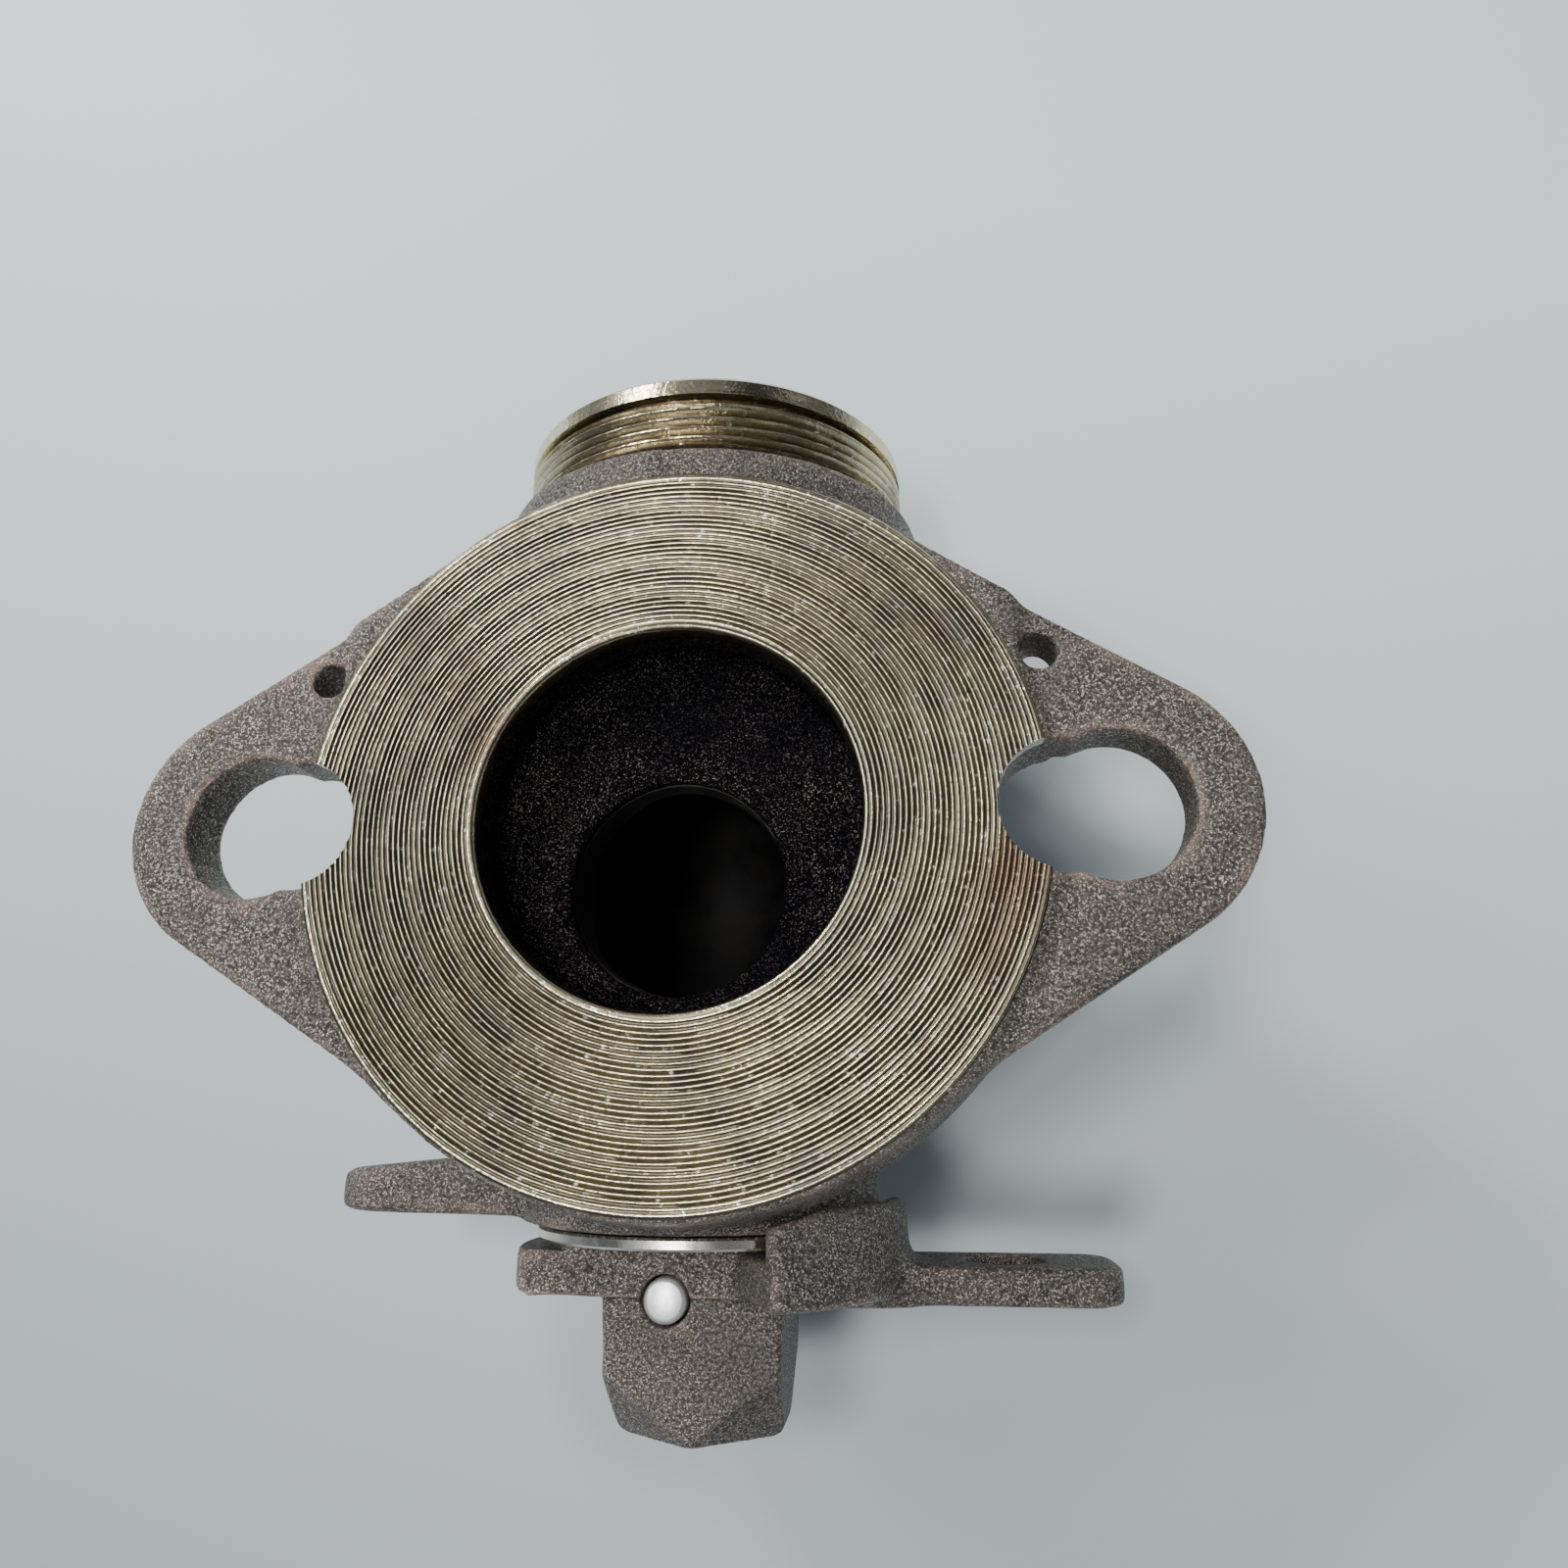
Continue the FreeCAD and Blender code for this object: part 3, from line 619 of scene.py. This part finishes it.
def casting_shape(graph, x, y, z):
    """The whole casting."""
    w = z + STEM_DEPTH
    solid = casting_outside(graph, x, y, z, w)
    from_axis = across(x, y)
    from_stem = across(x, w)
    bore = both(from_axis - 25.75, -9.5 - (z + from_axis * -0.03), 5.0)
    from_throat = across(x, y + 8.0)
    throat = both(from_throat - 14.6, slab(z, -STEM_DEPTH, 0.0))
    pocket = both(from_throat - 18.0, slab(z, -STEM_DEPTH, -11.3))
    cavity = both(from_stem - 20.55, slab(y, -32.0, 27.5))
    pilot = both(from_stem - 26.0, slab(y, 27.0, 42.0))
    socket = both(from_stem - 28.5, slab(y, 40.5, 60.0))
    stem_hole = both(from_stem - 9.55, slab(y, -60.0, -31.0))
    flange_hole = both(from_stem - 13.6, slab(y, -36.0, -31.0))
    solid = without(solid, bore, 0.8)
    for hollow in (throat, pocket, cavity, pilot, socket, stem_hole, flange_hole):
        solid = without(solid, hollow)
    side = abs(x)
    slot = either(across(side - FAR_BOLT_X, y) - FAR_BOLT_RADIUS,
                  across(side - NEAR_BOLT_X, y) - NEAR_BOLT_RADIUS)
    wire = across(side - 48.7, y - 20.8) - 2.4
    solid = without(solid, both(slot, -14.0 - z), 1.0)
    solid = without(solid, both(wire, -14.0 - z), 0.5)
    notch = both(both(from_stem - 30.2, 25.3 - from_stem), slab(y, -60.0, -47.4))
    notch = both(both(notch, x), w - 1.9)
    return without(solid, notch, 0.6)


casting = solid_from_distance("casting", casting_shape, (-77, -54, -71), (77, 56, 1), 0.75, CAST)
join_body(casting, "casing", "cast_bronze", "valve_body")

# %% [markdown]
# The tee cap is cast too: a disc with two flats, a skirt that runs against a stop, a padlock
# wing and a head for a tee key, whose end falls away steeply on each side of a V.  A thin line of
# flash stands along the disc's edge, where the two halves of the mould met.

# %% The tee cap


def cap_shape(graph, x, y, z):
    """The whole cap, about the stem axis."""
    w = z + STEM_DEPTH
    head_width = graph.size("Head half width", 12.4)
    from_stem = across(x, w)
    flats = slab(w, -13.0, 13.0)
    disc = both(both(from_stem - 26.3, slab(y, -60.6, -55.0), 1.6), flats, 1.2)
    lip = both(both(from_stem - 21.0, slab(y, -57.0, -53.95), 0.4), flats, 0.8)
    first_side = w * math.sin(math.radians(26.5)) - x * math.cos(math.radians(26.5))
    sector = both(first_side, -w, 1.5)
    wall = both(slab(from_stem, 25.8, 29.3), slab(y, -60.6, -48.6), 3.6)
    base = both(from_stem - 29.3, slab(y, -60.6, -55.0), 2.0)
    skirt = both(either(wall, base, 1.0), sector, 2.0)
    skirt = without(skirt, across(x, y) - 52.2, 0.8)
    wing = both(round_tab(x, w, 0.0, 58.0, WING_HALF, 5.5), slab(y, -61.9, -56.9), 1.8)
    wing = without(wing, across(x - LOCK_X, w) - LOCK_RADIUS, 0.4)
    beside = abs(x - 0.5)
    past_vee = beside * 0.563 - y * 0.827 - 64.6
    facet = (abs(w) - 12.3 + past_vee.sum("MAXIMUM", 0.0) * 1.3) * 0.61
    head = both(beside - head_width - (y + 55.0) * 0.035, abs(w) - 12.3, 1.2)
    head = both(both(head, slab(y, -79.0, -54.5), 3.0), facet, 0.2)
    flash = both(both(slab(y, -60.8, -60.2), abs(w) - 13.35), slab(x, -22.0, 22.0))
    cap = either(either(either(disc, lip, 0.5), flash, 0.3), head, 0.5)
    cap = either(either(cap, skirt, 2.0), wing, 4.5)
    stem_hole = both(from_stem - 9.6, slab(y, -69.0, -50.0))
    pin_hole = across(x - PIN_X, y - PIN_Y) - 3.3
    return without(without(cap, pin_hole, 0.6), stem_hole)


tee_cap = solid_from_distance("tee_cap_cast", cap_shape, (-28, -81, -51), (60, -47, -6), 0.42, CAST)
join_body(tee_cap, "closure", "cast_bronze", "tee_cap")

# %% [markdown]
# Anything made on a lathe is one section swept round an axis.  This tree takes the section as a
# row of points and lays a grid over it, and it can also cut a groove that winds as it goes: a
# spiral on an end face, or a helix round a side, which is a thread.

# %% A lathe


def lathe_tree(material):
    """The tree: section points in, turned solid out, about Z."""
    graph = ShapeGraph("lathe")
    rows = graph.size("Section points", 8)
    segments = graph.size("Segments", 96)
    pitch = graph.size("Groove pitch", 1.0)
    depth = graph.size("Groove depth", 0.0)
    on_face = graph.size("Groove on the face", False)
    grid = graph.add("GeometryNodeMeshGrid", output="Mesh", Size_X=1.0, Size_Y=1.0,
                     Vertices_X=rows, Vertices_Y=segments + 1)
    across_grid = graph.add("GeometryNodeInputPosition")
    row = (graph.add("ShaderNodeSeparateXYZ", output="X", Vector=across_grid) + 0.5) * (rows - 1)
    turned = graph.add("ShaderNodeSeparateXYZ", output="Y", Vector=across_grid) + 0.5
    index = row.sum("ROUND")
    section = Val(graph, graph.start.outputs["Geometry"])
    point = graph.add("GeometryNodeSampleIndex", {"data_type": "FLOAT_VECTOR"}, Geometry=section,
                      Value=graph.add("GeometryNodeInputPosition"), Index=index)
    cut = graph.add("GeometryNodeInputNamedAttribute", {"data_type": "FLOAT"}, Name="cut")
    weight = graph.add("GeometryNodeSampleIndex", {"data_type": "FLOAT"}, Geometry=section,
                       Value=cut, Index=index)
    radius = graph.add("ShaderNodeSeparateXYZ", output="X", Vector=point) / MM
    height = graph.add("ShaderNodeSeparateXYZ", output="Z", Vector=point) / MM
    travel = radius * on_face + height * (1 - on_face)
    wave = (travel / pitch - turned).sum("PINGPONG", 0.5) * 2
    sunk = wave.within(0.15, 0.95) * depth * weight
    radius = radius - sunk * (1 - on_face)
    height = height - sunk * on_face
    angle = turned * (2 * math.pi)
    place = graph.add("ShaderNodeCombineXYZ", X=radius * angle.sum("COSINE") * MM,
                      Y=radius * angle.sum("SINE") * MM, Z=height * MM)
    shaped = graph.add("GeometryNodeSetPosition", Geometry=grid, Position=place)
    graph.finish(graph.add("GeometryNodeMergeByDistance", Geometry=shaped, Distance=1e-6), material)
    return graph


print("lathe ready")

# %% [markdown]
# A section is a list of (radius, height) corners.  The groove needs points close together, so a
# stretch that is cut gets many of them, each with a weight that fades out at both ends.

# %% From a section to a piece


def stretch(start, end, count):
    """Close points between two corners of a section, with their groove weights."""
    points = []
    for step in range(count + 1):
        share = step / count
        place = [a + (b - a) * share for a, b in zip(start, end)]
        points.append((*place, min(1.0, 20 * share, 20 * (1 - share))))
    return points


def turn_piece(name, section, material, centre, to_y=True, closed=True, sharp=40, **sizes):
    """A turned piece from its section, about the Y or the Z axis through a centre."""
    points = [(*corner, 0.0)[:3] for corner in section]
    if closed:
        points.append(points[0])
    obj = new_object(name, [(radius * MM, 0.0, height * MM) for radius, height, weight in points])
    cut = obj.data.attributes.new("cut", "FLOAT", "POINT")
    cut.data.foreach_set("value", [weight for radius, height, weight in points])
    run_tree(obj, lathe_tree(material), Section_points=len(points), **sizes)
    turn = Matrix.Rotation(math.radians(-90), 4, "X") if to_y else Matrix.Identity(4)
    obj.data.transform(Matrix.Translation(Vector(centre) * MM) @ turn)
    tidy_mesh(obj, sharp)
    return obj


STEM_AXIS = (0.0, 0.0, -STEM_DEPTH)
print("turned pieces are centred on", STEM_AXIS)

# %% [markdown]
# The meter face is the part that seals.  A facing tool left one long spiral groove in it, about
# 0.7 mm from turn to turn, and that groove is real geometry here because it catches the light.
# The bolt slots bite into the rim, so they are cut from it last.

# %% The meter face
face_section = [(25.4, -0.45)]
face_section += stretch((25.9, 0.0), (48.85, 0.0), 186)
face_section += [(49.2, -0.3), (49.2, -2.6), (25.4, -2.6)]
meter_face = turn_piece("meter_face", face_section, FACE, (0.0, 0.0, 0.0), to_y=False,
                        sharp=SHARP_EDGE, Segments=360, Groove_pitch=FACE_PITCH,
                        Groove_depth=0.30, Groove_on_the_face=True)


def slot_cutter(name, x, radius):
    """A round bar through a bolt slot."""
    mesh = bmesh.new()
    bmesh.ops.create_cone(mesh, cap_ends=True, segments=96, radius1=radius * MM,
                          radius2=radius * MM, depth=0.02,
                          matrix=Matrix.Translation((x * MM, 0.0, 0.0)))
    obj = new_object(name)
    mesh.to_mesh(obj.data)
    mesh.free()
    return obj


for side in (-1, 1):
    cutter = slot_cutter(f"cutter_{side}", side * NEAR_BOLT_X, NEAR_BOLT_RADIUS)
    notch = meter_face.modifiers.new("notch", "BOOLEAN")
    notch.operation = "DIFFERENCE"
    notch.solver = "EXACT"
    notch.object = cutter
    settle(meter_face)
    bpy.data.objects.remove(cutter)
tidy_mesh(meter_face, SHARP_EDGE)
join_body(meter_face, "casing", "machined_bronze", "valve_body")

# %% [markdown]
# The spigot is part of the same casting, but from its collar outwards it is turned: the thread
# for a compression nut, a relief groove and a bevelled rim round the pipe socket.  The rough
# collar came with the casting, so this piece is only the bright sleeve.

# %% The turned spigot
spigot_section = [(27.1, 40.8), (29.0, 40.8), (29.0, 53.8), (30.3, 54.0), (30.3, 55.5)]
spigot_section += stretch((31.3, 55.9), (31.3, 62.8), 42)
spigot_section += [(30.1, 63.0), (30.1, 64.1), (31.3, 64.4), (31.3, 66.7), (30.5, 67.5),
                   (28.0, INLET_END), (27.2, 66.7)]
spigot = turn_piece("spigot_turned", spigot_section, TURNED, STEM_AXIS, Segments=192,
                    Groove_pitch=1.6, Groove_depth=0.95)
join_body(spigot, "casing", "machined_bronze", "valve_body")

# %% [markdown]
# Behind the cap is a bright ring, and through the head and the stem goes a zinc-plated pin with
# rounded ends.  It sits a little to one side of the stem's axis, so that it keys the two.

# %% The ring and the pin
ring_section = [(9.6, -53.9), (23.4, -53.9), (23.7, -53.6), (23.7, -52.6), (23.4, -52.3),
                (9.6, -52.3)]
cap_ring = turn_piece("cap_ring", ring_section, RING, STEM_AXIS, Segments=160)
join_body(cap_ring, "closure", "polished_ring", "cap_washer")

PIN_TOP = span("drive_pin", 2)[1] + STEM_DEPTH
pin_section = [(0.0, PIN_TOP), (2.3, PIN_TOP - 0.05), (2.7, PIN_TOP - 0.25), (2.95, PIN_TOP - 0.7),
               (2.95, 0.7 - PIN_TOP), (2.7, 0.25 - PIN_TOP), (0.0, -PIN_TOP)]
pin = turn_piece("drive_pin_turned", pin_section, ZINC, (PIN_X, PIN_Y, -STEM_DEPTH),
                 to_y=False, closed=False, Segments=64)
join_body(pin, "closure", "zinc_steel", "drive_pin")

# %% [markdown]
# The pieces inside are right as the CAD has them, so they only need their finishes.  The bronze
# ones are coloured nearly black, as painted shade, since they lie inside the casting.

# %% Finishes on the pieces inside
for name, node in nodes.items():
    finish = RUBBER if "oring" in name or "seat" in name else DULL_BRONZE_IN_SHADE
    if "washer" in name:
        finish = PLASTIC
    for material_slot in node.material_slots:
        material_slot.material = finish
print("gave a finish to", len(nodes), "pieces")

# %% [markdown]
# The valve lies on a plain table, painted paler towards the back as painted light, where more light
# falls.  It stands as low as the lowest point of the imported model.

# %% Table
table_mesh = bpy.data.meshes.new("table")
half = 3.0
floor_height = cad_box[0][2]
table_mesh.from_pydata([(-half, -half, floor_height), (half, -half, floor_height),
                        (half, half, floor_height), (-half, half, floor_height)],
                       [], [(0, 1, 2, 3)])
table = bpy.data.objects.new("table", table_mesh)
bpy.context.scene.collection.objects.link(table)
table_material, table_graph, table_shader = new_material("table")
table_place = table_graph.add("ShaderNodeTexCoord", output="Object")
along_x, along_y = (table_graph.add("ShaderNodeSeparateXYZ", output=axis, Vector=table_place)
                    for axis in "XY")
# painted light: the table's colour grows paler towards the back and the right
paler_in_painted_light = (along_y * 0.8 + along_x * 0.25).within(-0.12, 0.14)
table_graph.feed(table_shader.inputs["Base Color"],
                 mix(table_graph, paler_in_painted_light, rgb(0.40, 0.46, 0.495), rgb(0.86, 0.965, 1.0)))
table_shader.inputs["Roughness"].default_value = 0.55
table_mesh.materials.append(table_material)
print(f"table at {floor_height / MM:.1f}")

# %% [markdown]
# Four soft lamps stand in for two ceiling lights, a bulb and a window.  The two above the valve
# light its top, and the bulb, far behind on the left, catches the grooves of the face.  The sky
# fills the shadows.  It has pale and dark panels, because metal shows only what it reflects.

# %% Lights and sky


def soft_lamp(name, place, watts, width, colour):
    """A square lamp that faces the middle of the valve."""
    data = bpy.data.lights.new(name, "AREA")
    data.energy = watts
    data.size = width
    data.color = colour
    lamp = bpy.data.objects.new(name, data)
    bpy.context.scene.collection.objects.link(lamp)
    lamp.location = place
    aim = Vector((0, 0, -0.03)) - Vector(place)
    lamp.rotation_euler = aim.to_track_quat("-Z", "Y").to_euler()


soft_lamp("ceiling", (-0.17, 0.13, 1.10), 4.5, 0.22, (1.0, 0.98, 0.95))
soft_lamp("near_ceiling", (-0.22, -0.28, 1.05), 5.5, 0.25, (1.0, 0.98, 0.95))
soft_lamp("bulb", (-0.62, 0.78, 0.75), 7.0, 0.18, (1.0, 0.97, 0.92))
soft_lamp("window", (-0.80, 0.30, 0.80), 3.0, 0.4, (0.95, 0.98, 1.0))
world = bpy.data.worlds.new("sky")
world.use_nodes = True
sky = Graph(world.node_tree)
direction = sky.add("ShaderNodeTexCoord", output="Generated")
lift = sky.add("ShaderNodeSeparateXYZ", output="Z", Vector=direction)
panels = noise(sky, direction, 3.2, 1.0).within(0.49, 0.55)
overhead = mix(sky, panels, rgb(0.06, 0.065, 0.08), rgb(0.75, 0.79, 0.83))
walls = mix(sky, panels, rgb(0.25, 0.27, 0.30), rgb(0.90, 0.95, 1.0))
shade = mix(sky, lift.within(0.35, 0.75), walls, overhead)
background = world.node_tree.nodes["Background"]
sky.feed(background.inputs["Color"], shade)
background.inputs["Strength"].default_value = 0.44
bpy.context.scene.world = world
print("lamps:", len(bpy.data.lights))
